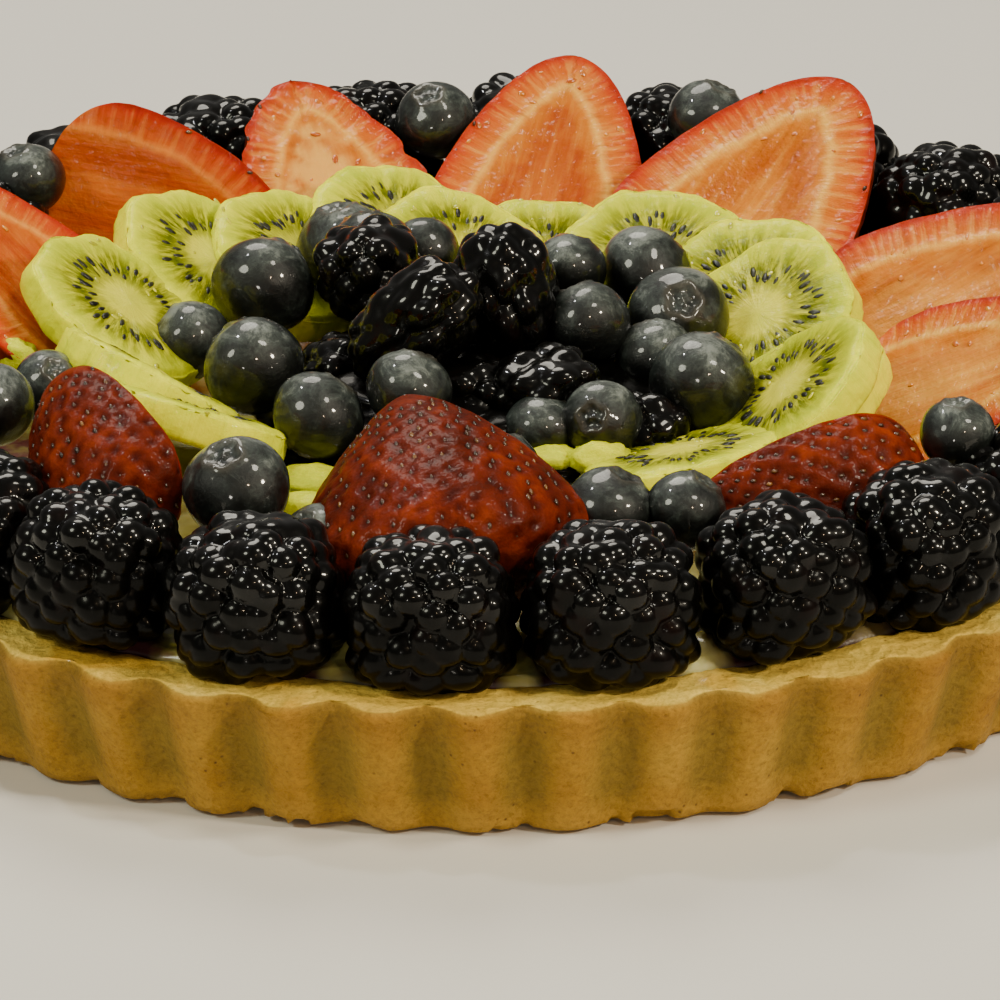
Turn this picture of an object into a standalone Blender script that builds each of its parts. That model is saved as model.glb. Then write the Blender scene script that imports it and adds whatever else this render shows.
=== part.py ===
"""A round fruit tart, about 250 mm across.

A fluted shortcrust shell holds a bed of pastry cream. Glazed fruit stands on the cream in rings:
dark bramble berries along the rim, then halved strawberries with single blueberries between them,
then overlapping kiwi slices, and a heap of mixed berries in the middle.

Lengths are in metres. The tart rests on z = 0 with its axis on z. A place on it is given as
(azimuth, radius, height): azimuth in degrees from the front (-Y) towards +X, lengths in mm.
"""

import math
import random

import bmesh
import bpy
from mathutils import Matrix, Vector

MM = 0.001

# The shell
SHELL_HEIGHT = 24 * MM
BASE_RADIUS = 116.5 * MM
RIM_RADIUS = 125 * MM
RIM_WIDTH = 12.3 * MM
FLOOR_THICKNESS = 5 * MM
FLUTES = 50
FLUTE_TURN = 0.389
FLUTE_DEPTH_BASE = 2.3 * MM
FLUTE_DEPTH_RIM = 3.8 * MM
FLUTE_FULLNESS = 1.6
SAMPLES_PER_FLUTE = 4
RIM_ROUNDING = 1.6 * MM
INSIDE_SIDES = 40

# The filling, and the clear gap left between one piece and the next
CREAM_PROUD = 0.6 * MM
GAP = 0.3 * MM
CLEARANCE = 1.15 * GAP
BED = SHELL_HEIGHT + CREAM_PROUD + GAP

# The rim's dark berries: one ring at an even pitch
BRAMBLES = 24
BRAMBLE_TURN = -4.5
BRAMBLE_RING = 107
BRAMBLE_SIZE = (13.6, 13.2, 13.0)
BRAMBLE_CENTRE = 35.3
BUMP = 0.03
UNEVENNESS = 0.03

# Strawberry halves: (shoulder end, tip end, roll of the cut face in degrees, width in mm)
STRAWBERRY_WIDEST = 0.32
SHOULDER_FULLNESS = 2.4
TIP_FULLNESS = 1.25
STRAWBERRY_FLATTENING = 0.92
STRAWBERRIES = {
    "strawberry_front": ((1, 88, 23), (-12, 65, 54), 0, 46),
    "strawberry_front_right": ((50, 92, 36.5), (23, 83, 38.5), 0, 26),
    "strawberry_right": ((79, 60, 29), (76, 106, 51), 12, 40),
    "strawberry_right_back": ((108, 60, 28), (104, 106, 50), 14, 39),
    "strawberry_back_right": ((146, 58, 27), (142, 105, 56), 4, 45),
    "strawberry_back": ((174, 58, 27), (170, 101, 55.5), 0, 39),
    "strawberry_back_left": ((-161, 60, 28), (-160, 98, 54), 0, 38),
    "strawberry_left_back": ((-131, 102, 44), (-151, 72, 37), -10, 33),
    "strawberry_left": ((-100, 60, 30), (-112, 104, 58), -30, 42),
    "strawberry_front_left": ((-37, 88, 28), (-55, 82, 52), 0, 35),
}

# Kiwi slices: (azimuth, radius, height) of the middle, outward lean, side tilt, slice radius
KIWI_THICKNESS = 6.5
KIWI_SIDES = 12
KIWI_SMALLEST = 0.94
KIWIS = {
    "kiwi_01": ((-102, 63, 39.5), 35, -4, 18.5),
    "kiwi_02": ((-129, 61, 38), 35, 6, 18),
    "kiwi_03": ((-145, 56, 36), 31, 9, 17.5),
    "kiwi_04": ((-166, 59, 36), 27, 11, 18),
    "kiwi_05": ((-175, 46, 35), 26, 11, 18),
    "kiwi_06": ((142, 49, 36), 26, 17, 18.5),
    "kiwi_07": ((119, 52, 36), 25, 19, 18),
    "kiwi_08": ((103, 49, 37), 29, 16, 18.5),
    "kiwi_09": ((70, 55, 35), 20, 14, 17.5),
    "kiwi_10": ((64, 57.5, 38), 34, 22, 17),
    "kiwi_11": ((41, 50, 31), 15, 1, 17),
    "kiwi_12": ((-61, 56.5, 36), 26, 8, 18),
    "kiwi_13": ((-71, 58.5, 38.5), 35, 9, 17),
}

# Single blueberries: (azimuth, radius, height) of the middle, radius of the berry. The crown's
# ring and cup are given as shares of the berry's radius.
BERRY_FLATTENING = 0.92
CROWN_WIDTH = 0.8
CROWN_RISE = 1.1
CUP_FLOOR = 0.8
BLUEBERRIES = {
    "blueberry_01": ((-129, 102, 46), 7.2),
    "blueberry_02": ((-63, 90, 44), 7.4),
    "blueberry_03": ((-70, 76, 42), 6.4),
    "blueberry_04": ((-28, 84, 42.5), 9.0),
    "blueberry_05": ((-16.5, 89, 38), 6.6),
    "blueberry_06": ((14, 82, 40), 7.6),
    "blueberry_07": ((21.5, 86, 40), 7.0),
    "blueberry_08": ((52, 97, 44.5), 6.7),
    "blueberry_09": ((-175, 92, 46), 7.8),
    "blueberry_10": ((156, 99, 47), 7.4),
}

# The heap in the middle: a low core, and on it berries given as (azimuth, radius, height) of the
# middle and three half sizes: outward, around and up
HEAP_CORE_RADIUS = 46
HEAP_CORE_TOP = 43
HEAP_BERRIES = (
    ((-52, 14, 45.5), (10.5, 9.5, 11.5)),
    ((100, 4, 48.5), (9, 9.5, 11.5)),
    ((-142, 31, 43), (9.5, 9, 9)),
    ((32, 20, 36), (9.5, 8, 7)),
    ((-152, 50, 39.5), (8.8, 8.6, 7.4)),
    ((-124, 45, 40), (9, 8, 7.4)),
    ((-80, 39, 38), (8.2, 8.2, 9)),
    ((-46, 38, 36), (7.8, 7.8, 8)),
    ((-26, 28, 40), (7, 7, 7)),
    ((-165, 38, 41.5), (6.4, 6, 6)),
    ((131, 37, 42), (8.2, 8.2, 8)),
    ((104, 34, 40), (8.6, 8.4, 8)),
    ((90, 17.5, 42), (7.2, 7.2, 7.6)),
    ((140, 23, 46), (6.5, 6.5, 6.5)),
    ((65, 40, 37.5), (9, 9, 9)),
    ((-12, 54, 33.5), (10, 10, 9)),
    ((2, 47, 33.5), (8.5, 8.5, 8)),
)


def radial(azimuth):
    """Unit vector that points away from the tart's axis at this azimuth."""
    angle = math.radians(azimuth)
    return Vector((math.sin(angle), -math.cos(angle), 0))


def place(azimuth, radius, height):
    """The point of a place given in degrees and millimetres."""
    point = radial(azimuth) * radius * MM
    point.z = height * MM
    return point


def frame_at(middle, x_axis, y_axis, z_axis):
    """The matrix that puts a piece's own axes and origin there."""
    matrix = Matrix((x_axis, y_axis, z_axis)).transposed().to_4x4()
    matrix.translation = middle
    return matrix


def finish_of(name, colour, roughness):
    """One Principled finish: a linear colour and a roughness, never metallic."""
    material = bpy.data.materials.new(name)
    material.use_nodes = True
    shader = material.node_tree.nodes["Principled BSDF"]
    shader.inputs["Base Color"].default_value = (*colour, 1)
    shader.inputs["Roughness"].default_value = roughness
    shader.inputs["Metallic"].default_value = 0
    return material


def add_object(name, mesh_maker, material, matrix=None, sharp=50):
    """A named object from a bmesh, smooth except at edges sharper than this many degrees."""
    mesh = bpy.data.meshes.new(name)
    bmesh.ops.recalc_face_normals(mesh_maker, faces=mesh_maker.faces)
    mesh_maker.to_mesh(mesh)
    mesh_maker.free()
    mesh.shade_smooth()
    mesh.set_sharp_from_angle(angle=math.radians(sharp))
    mesh.materials.append(material)
    piece = bpy.data.objects.new(name, mesh)
    bpy.context.scene.collection.objects.link(piece)
    if matrix is not None:
        piece.matrix_world = matrix
    return piece


def cut_off(bm, point, normal):
    """Removes what lies beyond the plane on its normal's side, and closes the cut flat."""
    everything = bm.verts[:] + bm.edges[:] + bm.faces[:]
    cut = bmesh.ops.bisect_plane(
        bm, geom=everything, plane_co=point, plane_no=normal, clear_outer=True
    )
    rim = [item for item in cut["geom_cut"] if isinstance(item, bmesh.types.BMEdge)]
    if rim:
        bmesh.ops.edgeloop_fill(bm, edges=rim)


def rest_on_cream(bm, matrix):
    """Cuts off what would sink below the bed, for a piece that this matrix will place."""
    back = matrix.inverted()
    cut_off(bm, back @ Vector((0, 0, BED)), back.to_3x3() @ Vector((0, 0, -1)))


def flute(azimuth_angle):
    """0 in a valley of the fluted wall and 1 on the ridge between two valleys."""
    turn = azimuth_angle * FLUTES / (2 * math.pi) - FLUTE_TURN
    return abs(math.sin(math.pi * turn)) ** FLUTE_FULLNESS


def make_shell():
    """Shortcrust pressed into a fluted tin: thick wall, flat rim, open inside."""
    bm = bmesh.new()
    bmesh.ops.create_cone(
        bm,
        cap_ends=True,
        segments=FLUTES * SAMPLES_PER_FLUTE,
        radius1=BASE_RADIUS,
        radius2=RIM_RADIUS,
        depth=SHELL_HEIGHT,
        matrix=Matrix.Translation((0, 0, SHELL_HEIGHT / 2))
        @ Matrix.Rotation(2 * math.pi * FLUTE_TURN / FLUTES, 4, "Z"),
    )
    rim_edges = [e for e in bm.edges if min(v.co.z for v in e.verts) > SHELL_HEIGHT / 2]
    bmesh.ops.bevel(
        bm,
        geom=rim_edges,
        offset=RIM_ROUNDING,
        offset_type="OFFSET",
        segments=1,
        profile=0.5,
        affect="EDGES",
        material=-1,
    )
    for vert in bm.verts:
        height = vert.co.z / SHELL_HEIGHT
        depth = FLUTE_DEPTH_BASE + (FLUTE_DEPTH_RIM - FLUTE_DEPTH_BASE) * height
        around = math.atan2(vert.co.x, -vert.co.y)
        radius = vert.co.xy.length
        vert.co.xy *= 1 - depth * (1 - flute(around)) / radius
    dough = finish_of("shortcrust", (0.42, 0.22, 0.05), 0.75)
    shell = add_object("crust", bm, dough)

    hollow = bmesh.new()
    inner = RIM_RADIUS - RIM_WIDTH
    wall_slope = (RIM_RADIUS - BASE_RADIUS) / SHELL_HEIGHT
    depth = SHELL_HEIGHT - FLOOR_THICKNESS
    over = RIM_ROUNDING
    bmesh.ops.create_cone(
        hollow,
        cap_ends=True,
        segments=INSIDE_SIDES,
        radius1=inner - wall_slope * depth,
        radius2=inner + wall_slope * over,
        depth=depth + over,
        matrix=Matrix.Translation((0, 0, FLOOR_THICKNESS + (depth + over) / 2)),
    )
    cutter = add_object("hollow_cutter", hollow, dough)
    subtract(shell, cutter)

    filling = bmesh.new()
    floor_gap = FLOOR_THICKNESS + GAP
    bmesh.ops.create_cone(
        filling,
        cap_ends=True,
        segments=INSIDE_SIDES,
        radius1=inner - wall_slope * depth - CLEARANCE,
        radius2=inner - CLEARANCE,
        depth=SHELL_HEIGHT + CREAM_PROUD - floor_gap,
        matrix=Matrix.Translation((0, 0, (SHELL_HEIGHT + CREAM_PROUD + floor_gap) / 2)),
    )
    top_edges = [
        e for e in filling.edges if min(v.co.z for v in e.verts) > SHELL_HEIGHT
    ]
    bmesh.ops.bevel(
        filling,
        geom=top_edges,
        offset=2 * CREAM_PROUD,
        offset_type="OFFSET",
        segments=1,
        profile=0.5,
        affect="EDGES",
        material=-1,
    )
    add_object("pastry_cream", filling, finish_of("cream", (0.75, 0.68, 0.35), 0.4))


def hide(cutter):
    cutter.hide_render = True
    cutter.display_type = "WIRE"


def subtract(piece, cutter):
    """Cuts the hidden cutter's shape out of the piece."""
    hide(cutter)
    cut = piece.modifiers.new("around_" + cutter.name, "BOOLEAN")
    cut.operation = "DIFFERENCE"
    cut.solver = "EXACT"
    cut.object = cutter


def bramble_mesh(rng, size):
    """A berry of many drupelets, as a lumpy ball: bumps at its main points, hollows between."""
    bm = bmesh.new()
    bmesh.ops.create_icosphere(bm, subdivisions=2, radius=1)
    for vert in bm.verts:
        bump = BUMP if len(vert.link_edges) == 5 else -BUMP
        vert.co *= (1 + bump) * rng.uniform(1 - UNEVENNESS, 1 + UNEVENNESS)
        vert.co = Vector(a * b * MM for a, b in zip(vert.co, size))
    return bm


def make_brambles():
    skin = finish_of("bramble_skin", (0.006, 0.004, 0.005), 0.15)
    rng = random.Random(7)
    berries = []
    for number in range(BRAMBLES):
        azimuth = BRAMBLE_TURN + number * 360 / BRAMBLES
        outward = radial(azimuth)
        middle = place(azimuth, BRAMBLE_RING, BRAMBLE_CENTRE)
        matrix = frame_at(middle, Vector((0, 0, 1)).cross(-outward), -outward, Vector((0, 0, 1)))
        bm = bramble_mesh(rng, BRAMBLE_SIZE)
        rest_on_cream(bm, matrix)
        berries.append(add_object(f"bramble_{number + 1:02d}", bm, skin, matrix))
    return berries


def strawberry_outline(along):
    """Radius of a strawberry as a share of its largest, from the shoulder (0) to the tip (1)."""
    if along < STRAWBERRY_WIDEST:
        return (1 - (1 - along / STRAWBERRY_WIDEST) ** SHOULDER_FULLNESS) ** 0.5
    beyond = (along - STRAWBERRY_WIDEST) / (1 - STRAWBERRY_WIDEST)
    return (1 - beyond**TIP_FULLNESS) ** 0.5


def strawberry_mesh(length, width):
    """Half a strawberry: +Y is its tip, +Z the side that the knife left flat."""
    bm = bmesh.new()
    bmesh.ops.create_uvsphere(bm, u_segments=10, v_segments=8, radius=1)
    for vert in bm.verts:
        along = max(0, min(1, (1 + vert.co.z) / 2))
        around = math.atan2(vert.co.y, vert.co.x)
        radius = strawberry_outline(along)
        across = Vector((math.cos(around), math.sin(around))) * radius * width / 2
        depth = across.y * STRAWBERRY_FLATTENING
        vert.co = Vector((across.x, (along - 0.5) * length, depth))
    cut_off(bm, Vector((0, 0, 0)), Vector((0, 0, 1)))
    return bm


def make_strawberries():
    flesh = finish_of("strawberry", (0.45, 0.06, 0.015), 0.3)
    halves = []
    for name, (shoulder, tip, roll, width) in STRAWBERRIES.items():
        low, high = place(*shoulder), place(*tip)
        along = (high - low).normalized()
        middle = (low + high) / 2
        inward = -Vector((middle.x, middle.y, 0)).normalized()
        face = (inward - along * inward.dot(along)).normalized()
        face = Matrix.Rotation(math.radians(roll), 3, along) @ face
        matrix = frame_at(middle, along.cross(face), along, face)
        bm = strawberry_mesh((high - low).length, width * MM)
        rest_on_cream(bm, matrix)
        halves.append(add_object(name, bm, flesh, matrix, sharp=40))
    return halves


def make_kiwis():
    """Peeled slices, their outline a little angular from the peeling knife."""
    flesh = finish_of("kiwi", (0.42, 0.50, 0.06), 0.3)
    rng = random.Random(3)
    slices = []
    for name, (middle, lean, tilt, radius) in KIWIS.items():
        bm = bmesh.new()
        bmesh.ops.create_cone(
            bm,
            cap_ends=True,
            segments=KIWI_SIDES,
            radius1=radius * MM,
            radius2=radius * MM,
            depth=KIWI_THICKNESS * MM,
        )
        for edge in bm.edges:
            first, second = edge.verts
            if abs(first.co.z - second.co.z) > KIWI_THICKNESS * MM / 2:
                share = rng.uniform(KIWI_SMALLEST, 1)
                first.co.xy *= share
                second.co.xy *= share
        outward = radial(middle[0])
        around = Vector((0, 0, 1)).cross(outward)
        lift = Matrix.Rotation(math.radians(-lean), 3, around)
        turn = Matrix.Rotation(math.radians(tilt), 3, lift @ outward)
        matrix = frame_at(
            place(*middle),
            turn @ lift @ outward,
            turn @ around,
            turn @ lift @ Vector((0, 0, 1)),
        )
        rest_on_cream(bm, matrix)
        slices.append(add_object(name, bm, flesh, matrix, sharp=40))
    return slices


def blueberry_mesh(radius):
    """A slightly flat ball with a crown: a raised ring round a shallow cup at +Z."""
    bm = bmesh.new()
    bmesh.ops.create_uvsphere(bm, u_segments=8, v_segments=5, radius=radius * MM)
    for vert in bm.verts:
        if vert.co.xy.length < GAP and vert.co.z > 0:
            vert.co.z *= CUP_FLOOR
        elif vert.co.z > radius * MM * CUP_FLOOR:
            vert.co.xy *= CROWN_WIDTH
            vert.co.z *= CROWN_RISE
        vert.co.z *= BERRY_FLATTENING
    return bm


def make_blueberries():
    skin = finish_of("blueberry_skin", (0.02, 0.026, 0.038), 0.3)
    rng = random.Random(11)
    berries = []
    for name, (middle, radius) in BLUEBERRIES.items():
        tip = Vector((rng.uniform(-0.5, 0.5), rng.uniform(-0.6, 0.2), 1)).normalized()
        matrix = Matrix.Translation(place(*middle)) @ tip.to_track_quat("Z", "Y").to_matrix().to_4x4()
        bm = blueberry_mesh(radius)
        rest_on_cream(bm, matrix)
        berries.append(add_object(name, bm, skin, matrix))
    return berries


def make_heap():
    """The middle heap of mixed berries, joined into one solid. Returns the solids it is made of."""
    skin = finish_of("heap_berries", (0.012, 0.014, 0.02), 0.25)
    core = bmesh.new()
    bmesh.ops.create_uvsphere(core, u_segments=12, v_segments=6, radius=1)
    for vert in core.verts:
        vert.co.z = math.copysign(1 - vert.co.xy.length**3, vert.co.z)
        vert.co.z *= HEAP_CORE_TOP * MM - BED
        vert.co.xy *= HEAP_CORE_RADIUS * MM
    heap = add_object("berry_heap", core, skin, Matrix.Translation((0, 0, BED)))
    members = [heap]
    rng = random.Random(5)
    for number, (middle, size) in enumerate(HEAP_BERRIES):
        outward = radial(middle[0])
        around = Vector((0, 0, 1)).cross(outward)
        matrix = frame_at(place(*middle), outward, around, Vector((0, 0, 1)))
        bm = bramble_mesh(rng, size)
        for vert in bm.verts:
            if vert.co.z < 0:
                vert.co.z *= middle[2] / size[2]
        berry = add_object(f"heap_{number + 1}", bm, skin, matrix)
        hide(berry)
        join = heap.modifiers.new(berry.name, "BOOLEAN")
        join.operation = "UNION"
        join.solver = "EXACT"
        join.object = berry
        members.append(berry)
    bed = bmesh.new()
    bmesh.ops.create_cube(bed, size=1)
    for vert in bed.verts:
        vert.co.xy *= RIM_RADIUS
        vert.co.z = BED if vert.co.z > 0 else -BED
    subtract(heap, add_object("bed_cutter", bed, skin))
    return members


def world_box(piece):
    """Lowest and highest corner of a piece as placed, before any cut or join."""
    corners = [piece.matrix_world @ vert.co for vert in piece.data.vertices]
    low = Vector(min(corner[i] for corner in corners) for i in range(3))
    high = Vector(max(corner[i] for corner in corners) for i in range(3))
    return low, high


def swollen(piece):
    """A hidden copy of the piece that is larger all round by the gap, to cut its neighbours."""
    mesh = piece.data.copy()
    offsets = [normal.vector * CLEARANCE for normal in mesh.vertex_normals]
    for vert, offset in zip(mesh.vertices, offsets):
        vert.co += offset
    copy = bpy.data.objects.new(piece.name + "_clearance", mesh)
    bpy.context.scene.collection.objects.link(copy)
    copy.matrix_world = piece.matrix_world
    hide(copy)
    return copy


def nest(firm, giving):
    """Lets each giving piece make way for every firm one, and every giving one before it."""
    before = [(*world_box(piece), swollen(piece)) for piece in firm]
    for piece in giving:
        low, high = world_box(piece)
        for other_low, other_high, clearance in before:
            apart = any(
                low[i] > other_high[i] + GAP or other_low[i] > high[i] + GAP
                for i in range(3)
            )
            if not apart:
                subtract(piece, clearance)
        before.append((low, high, swollen(piece)))


def main():
    for old in list(bpy.data.objects):
        bpy.data.objects.remove(old)
    make_shell()
    brambles = make_brambles()
    heap = make_heap()
    bpy.context.view_layer.update()
    nest(brambles + heap, make_strawberries() + make_kiwis() + make_blueberries())


main()
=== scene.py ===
"""The looks of a round fruit tart: baked fluted shell, pastry cream and glazed fruit."""

import math
import random

import bmesh
import bpy
import numpy as np
from mathutils import Matrix, Vector, noise


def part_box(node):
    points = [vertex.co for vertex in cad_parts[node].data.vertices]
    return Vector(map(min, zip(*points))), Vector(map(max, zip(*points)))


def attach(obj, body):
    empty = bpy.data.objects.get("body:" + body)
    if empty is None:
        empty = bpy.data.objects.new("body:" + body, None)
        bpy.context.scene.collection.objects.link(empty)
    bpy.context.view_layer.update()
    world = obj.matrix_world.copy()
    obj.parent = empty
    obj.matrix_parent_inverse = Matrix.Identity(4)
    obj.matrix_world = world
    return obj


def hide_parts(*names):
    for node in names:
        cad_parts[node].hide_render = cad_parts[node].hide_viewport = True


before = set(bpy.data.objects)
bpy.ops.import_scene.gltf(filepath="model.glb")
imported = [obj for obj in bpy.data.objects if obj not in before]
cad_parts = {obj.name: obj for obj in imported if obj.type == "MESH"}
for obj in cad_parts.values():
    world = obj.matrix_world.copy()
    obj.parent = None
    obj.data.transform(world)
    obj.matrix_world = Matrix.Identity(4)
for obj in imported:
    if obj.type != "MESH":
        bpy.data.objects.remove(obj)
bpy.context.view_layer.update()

# --- The shortcrust shell ---
# A sheet of sweet shortcrust pressed into a fluted tin and baked hard: golden on the flutes, paler
# on the cut rim, grainy all over, with a few bubbles and chips along the foot where it stuck.

MM = 0.001
crust_low, crust_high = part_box("crust")
RIM_RADIUS = (crust_high[0] - crust_low[0]) / 2 / MM
SHELL_HEIGHT = crust_high[2] / MM
BASE_RADIUS = RIM_RADIUS - 8.2
BASE_THICKNESS = 5
RIM_WIDTH = 13.4
# beyond this radius is the wall
WALL_FROM = 100
FLUTES = 50
FLUTE_TURN = 0.389
FLUTE_FULLNESS = 1.6
STEPS_PER_FLUTE = 16
FLUTE_DEPTHS = (2.3, 3.8)
# pieces broken out of the foot: azimuth from the front and half width in degrees, height
CHIPS = ((13.2, 2.1, 3), (-15, 0.8, 1.6), (24.5, 1.2, 1.8), (28.5, 1.4, 1.6), (41, 1.2, 2.4), (-19, 0.7, 1.2))


def linear(hex_colour):
    """An sRGB hex colour as linear RGBA."""
    shares = [int(hex_colour[i : i + 2], 16) / 255 for i in (1, 3, 5)]
    return (*(s / 12.92 if s < 0.04045 else ((s + 0.055) / 1.055) ** 2.4 for s in shares), 1)


def smooth_step(value, low, high):
    """0 below low, 1 above high, and an easy curve between."""
    share = np.clip((value - low) / (high - low), 0, 1)
    return share * share * (3 - 2 * share)


def noise_at(points, size, seed=0, octaves=3):
    """Fractal noise, about -1 to 1, of points in mm, with features of this size in mm."""
    offset = Vector((seed * 17.3, seed * -9.1, seed * 5.7))
    return np.array([noise.fractal(Vector(p) / size + offset, 1.0, 2.0, octaves) for p in points])


def points_of(mesh):
    """A mesh's vertices, in mm, as an array."""
    flat = np.empty(len(mesh.vertices) * 3)
    mesh.vertices.foreach_get("co", flat)
    return flat.reshape(-1, 3) / MM


def new_object(name, data):
    """An object with this mesh, lamp or camera, in the scene."""
    made = bpy.data.objects.new(name, data)
    bpy.context.scene.collection.objects.link(made)
    return made


def add_piece(name, mesh, points, material, nodes=()):
    """Gives the mesh its final points, in mm, and makes it a piece that stands for these nodes."""
    mesh.vertices.foreach_set("co", (points * MM).ravel())
    mesh.shade_smooth()
    mesh.materials.append(material)
    piece = new_object(name, mesh)
    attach(piece, "root")
    if nodes:
        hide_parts(*nodes)


def give_attribute(mesh, name, values):
    """Stores one number or one vector for each vertex, for the material to read."""
    kind, field = ("FLOAT", "value") if values.ndim == 1 else ("FLOAT_VECTOR", "vector")
    layer = mesh.attributes.new(name, kind, "POINT")
    layer.data.foreach_set(field, values.astype(np.float32).ravel())


def mesh_from(bm, name):
    """Ends a bmesh as a mesh with its faces pointing outwards."""
    bmesh.ops.recalc_face_normals(bm, faces=bm.faces)
    mesh = bpy.data.meshes.new(name)
    bm.to_mesh(mesh)
    bm.free()
    return mesh


def turned(profile, cuts, steps, name):
    """A closed solid turned about Z from (radius, height) points in mm, each run cut so often."""
    line = []
    for (r1, z1), (r2, z2), count in zip(profile, profile[1:], cuts):
        shares = [step / (count + 1) for step in range(count + 1)]
        line += [(r1 + (r2 - r1) * share, z1 + (z2 - z1) * share) for share in shares]
    bm = bmesh.new()
    verts = [bm.verts.new((r * MM, 0, z * MM)) for r, z in line + [profile[-1]]]
    for first, second in zip(verts, verts[1:]):
        bm.edges.new((first, second))
    geom = bm.verts[:] + bm.edges[:]
    bmesh.ops.spin(bm, geom=geom, axis=(0, 0, 1), angle=2 * math.pi, steps=steps, use_merge=True)
    bmesh.ops.remove_doubles(bm, verts=bm.verts, dist=0.002 * MM)
    return mesh_from(bm, name)


def add_node(tree, kind, inputs=None, stops=None, **settings):
    """Adds a shader node: its settings, the values or links of its inputs, and a ramp's stops."""
    added = tree.nodes.new(kind)
    for name, value in settings.items():
        setattr(added, name, value)
    for key, value in (inputs or {}).items():
        if isinstance(value, bpy.types.NodeSocket):
            tree.links.new(value, added.inputs[key])
        else:
            added.inputs[key].default_value = value
    if stops:
        elements = added.color_ramp.elements
        elements[0].position, elements[0].color = stops[0]
        elements[1].position, elements[1].color = stops[-1]
        for position, colour in stops[1:-1]:
            elements.new(position).color = colour
    return added


def new_material(name, **uniform):
    """A named material with these uniform inputs, its node tree and the place on the object."""
    material = bpy.data.materials.new(name)
    material.use_nodes = True
    tree = material.node_tree
    for key, value in uniform.items():
        tree.nodes["Principled BSDF"].inputs[key.replace("_", " ")].default_value = value
    return material, tree, add_node(tree, "ShaderNodeTexCoord").outputs["Object"]


def plug(tree, **outputs):
    """Links these outputs into the inputs of the material's shader."""
    for key, output in outputs.items():
        tree.links.new(output, tree.nodes["Principled BSDF"].inputs[key.replace("_", " ")])


def blend(factor, first, second, mode="MIX"):
    """Mixes the colour of a link with a second one, given as a link or in hex."""
    inputs = {0: factor, 6: first, 7: linear(second) if isinstance(second, str) else second}
    mixed = add_node(first.id_data, "ShaderNodeMix", inputs, data_type="RGBA", blend_type=mode)
    return mixed.outputs[2]


def ramp(factor, *stops):
    """A colour ramp. A stop's colour is in hex, a grey level or linear red, green and blue."""
    stops = [
        (at, linear(tone) if isinstance(tone, str) else (*np.broadcast_to(tone, 3).tolist(), 1))
        for at, tone in stops
    ]
    return add_node(factor.id_data, "ShaderNodeValToRGB", {"Fac": factor}, stops).outputs["Color"]


def stored(tree, name, output="Fac"):
    """What a mesh attribute stores, as a number or as a vector."""
    return add_node(tree, "ShaderNodeAttribute", attribute_name=name).outputs[output]


def clouds(place, size, detail, roughness=0.5, **more):
    """Noise from 0 to 1 with features of this size, in metres when place is on the object."""
    inputs = {"Vector": place, "Scale": 1 / size, "Detail": detail, "Roughness": roughness, **more}
    kind = "4D" if "W" in more else "3D"
    return add_node(place.id_data, "ShaderNodeTexNoise", inputs, noise_dimensions=kind).outputs["Fac"]


def stretched(value, low, high, to_low=0, to_high=1):
    """A value's range from low to high brought to another range and cut off at its ends."""
    inputs = {"Value": value, "From Min": low, "From Max": high, "To Min": to_low, "To Max": to_high}
    return add_node(value.id_data, "ShaderNodeMapRange", inputs).outputs["Result"]


def reckoned(operation, link, *values):
    """The result of one sum of a link with other links or numbers."""
    inputs = dict(enumerate((link, *values)))
    return add_node(link.id_data, "ShaderNodeMath", inputs, operation=operation).outputs[0]


def relief(height, strength, depth):
    """The normal of fine relief, this deep in metres."""
    inputs = {"Strength": strength, "Distance": depth, "Height": height}
    return add_node(height.id_data, "ShaderNodeBump", inputs).outputs["Normal"]


def shortcrust():
    """Baked sweet shortcrust: matt and sandy, brown on the ridges, pale on top; painted shade darkens the
    flutes to olive.
    """
    matt = {"Roughness": 0.75, "IOR": 1.4, "Coat_Roughness": 0.12}
    material, tree, place = new_material("baked_shortcrust", **matt)
    height = add_node(tree, "ShaderNodeSeparateXYZ", {0: place}).outputs["Z"]
    top = stored(tree, "cut_top")
    patches = clouds(place, 0.02, 5, 0.6)
    grain = clouds(place, 0.0009, 4, 0.75)
    crumbs = add_node(
        tree, "ShaderNodeTexVoronoi", {"Vector": place, "Scale": 1 / 0.0023, "Randomness": 1}
    ).outputs["Distance"]
    colour = ramp(patches, (0.3, "#986A12"), (0.5, "#A67A1A"), (0.68, "#B28A28"))
    # painted shade: the flute valleys are coloured darker and more olive, as if in shadow
    flute_valley_shade = stretched(stored(tree, "ridge"), 0.92, 0.28)
    colour = blend(flute_valley_shade, colour, "#866A18")
    toasted = ramp(height, (0.0176, 0), (0.0215, 0.5), (0.0228, 0.3))
    colour = blend(toasted, colour, "#8F5E12")
    foot = stretched(height, 0.007, 0.001)
    colour = blend(foot, colour, "#B08628")
    sandy = ramp(patches, (0.35, "#D6AE40"), (0.55, "#E6C24C"), (0.7, "#F2D462"))
    colour = blend(top, colour, sandy)
    mottle = ramp(grain, (0.28, (0.62, 0.57, 0.5)), (0.5, 1), (0.72, (1.25, 1.25, 1.28)))
    colour = blend(0.85, colour, mottle, "MULTIPLY")
    pinholes = ramp(crumbs, (0.05, (0.35, 0.27, 0.17)), (0.16, 1))
    where = stretched(clouds(place, 0.006, 1), 0.5, 0.62)
    colour = blend(where, colour, pinholes, "MULTIPLY")
    # glaze that ran onto the rim and set there, amber and glossy
    runs = clouds(place, 0.024, 3, W=2)
    glazed = reckoned("MULTIPLY", stretched(runs, 0.59, 0.63), top)
    colour = blend(glazed, colour, "#FFF0C4", "MULTIPLY")
    grains = relief(reckoned("ADD", grain, crumbs), 0.9, 0.0006)
    plug(tree, Base_Color=colour, Coat_Weight=glazed, Normal=grains)
    return material


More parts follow.
